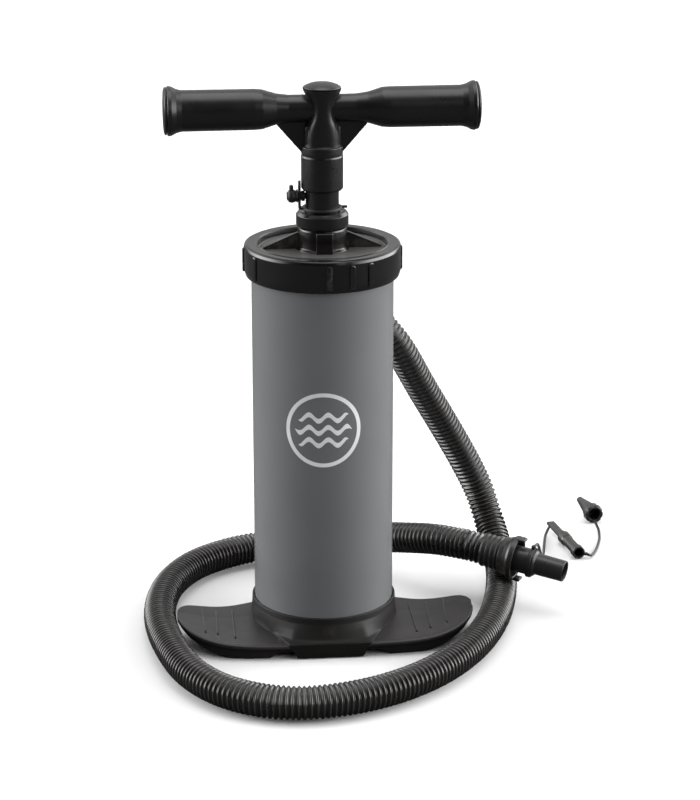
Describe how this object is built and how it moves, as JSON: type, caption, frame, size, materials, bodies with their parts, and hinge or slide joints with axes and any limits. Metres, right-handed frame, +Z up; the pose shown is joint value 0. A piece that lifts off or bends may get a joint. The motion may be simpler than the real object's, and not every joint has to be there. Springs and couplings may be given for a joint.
{
  "type": "manual air pump",
  "caption": "Upright hand-driven air pump with a T handle on a shaft, a round barrel with a twist-off cap, a two-pedal foot base, and a corrugated hose with a nozzle and loose adapters.",
  "frame": {"origin": "centre of the base's underside, on the floor, where the barrel's axis meets it", "axes": "+Z up along the barrel's axis; X along the handle and the two pedals; -Y towards the front, away from the hose's outlet"},
  "size_m": [0.4361, 0.4572, 0.469],
  "materials": {
    "black_plastic": "satin black, moulded",
    "foot_plastic": "dull dark grey, fine grain",
    "grey_shell": "smooth grey, semi-gloss",
    "inner_plastic": "natural light grey",
    "rubber": "dull black",
    "hose_plastic": "satin dark grey, corrugated",
    "steel": "zinc plated"
  },
  "bodies": {
    "barrel": {"base": "foot_plastic", "base_cover": "black_plastic", "base_screw_1": "steel", "base_screw_2": "steel", "base_screw_3": "steel", "base_screw_4": "steel", "outer_cylinder": "grey_shell", "inner_cylinder": "inner_plastic", "valve_seat": "inner_plastic", "lower_gasket": "rubber", "lower_outlet_band": "rubber", "valve_pin": "steel", "upper_outlet_band": "rubber", "upper_gasket": "rubber", "head_plate": "inner_plastic", "head_flap": "rubber", "top_cover": "black_plastic", "shaft_bush": "inner_plastic", "shaft_seal": "rubber", "gland_nut": "black_plastic", "outlet_elbow": "black_plastic", "port_seal": "rubber", "hose_cuff_pump": "hose_plastic", "hose": "hose_plastic", "hose_cuff_nozzle": "hose_plastic", "tether_ring": "rubber", "long_adapter": "black_plastic", "cone_adapter": "black_plastic", "tether_1": "hose_plastic", "tether_2": "hose_plastic"},
    "intake_valve": {"intake_disc": "rubber"},
    "cap": {"cap_ring": "black_plastic"},
    "piston": {"piston": "inner_plastic", "piston_seal_lower": "rubber", "piston_seal_upper": "rubber", "lower_buffer": "rubber", "upper_buffer": "rubber"},
    "rod": {"shaft": "black_plastic", "shaft_plug": "inner_plastic", "thrust_washer": "steel", "retaining_bolt": "steel", "handle": "black_plastic", "end_cap_left": "black_plastic", "end_cap_right": "black_plastic", "dome_cap": "black_plastic", "handle_screw": "steel", "plug_strap": "rubber"},
    "plug": {"action_plug": "black_plastic"},
    "nozzle": {"nozzle": "hose_plastic"}
  },
  "joints": [
    {"name": "piston_slide", "type": "slide", "parent": "barrel", "child": "piston", "axis": [0, 0, 1], "range_m": [0, 0.245]},
    {"name": "handle_swivel", "type": "hinge", "parent": "piston", "child": "rod", "pos_m": [0, 0, 0.3], "axis": [0, 0, 1], "continuous": true},
    {"name": "plug_pull", "type": "slide", "parent": "rod", "child": "plug", "axis": [-1, 0, 0], "range_m": [0, 0.012]},
    {"name": "cap_twist", "type": "hinge", "parent": "barrel", "child": "cap", "pos_m": [0, 0, 0.325], "axis": [0, 0, 1], "range_deg": [0, 45]},
    {"name": "intake_lift", "type": "slide", "parent": "barrel", "child": "intake_valve", "axis": [0, 0, 1], "range_m": [0, 0.0025]},
    {"name": "nozzle_twist", "type": "hinge", "parent": "barrel", "child": "nozzle", "pos_m": [0.17, 0.026, 0.0452], "axis": [0.8693, -0.4796, -0.1199], "range_deg": [0, 45]}
  ]
}
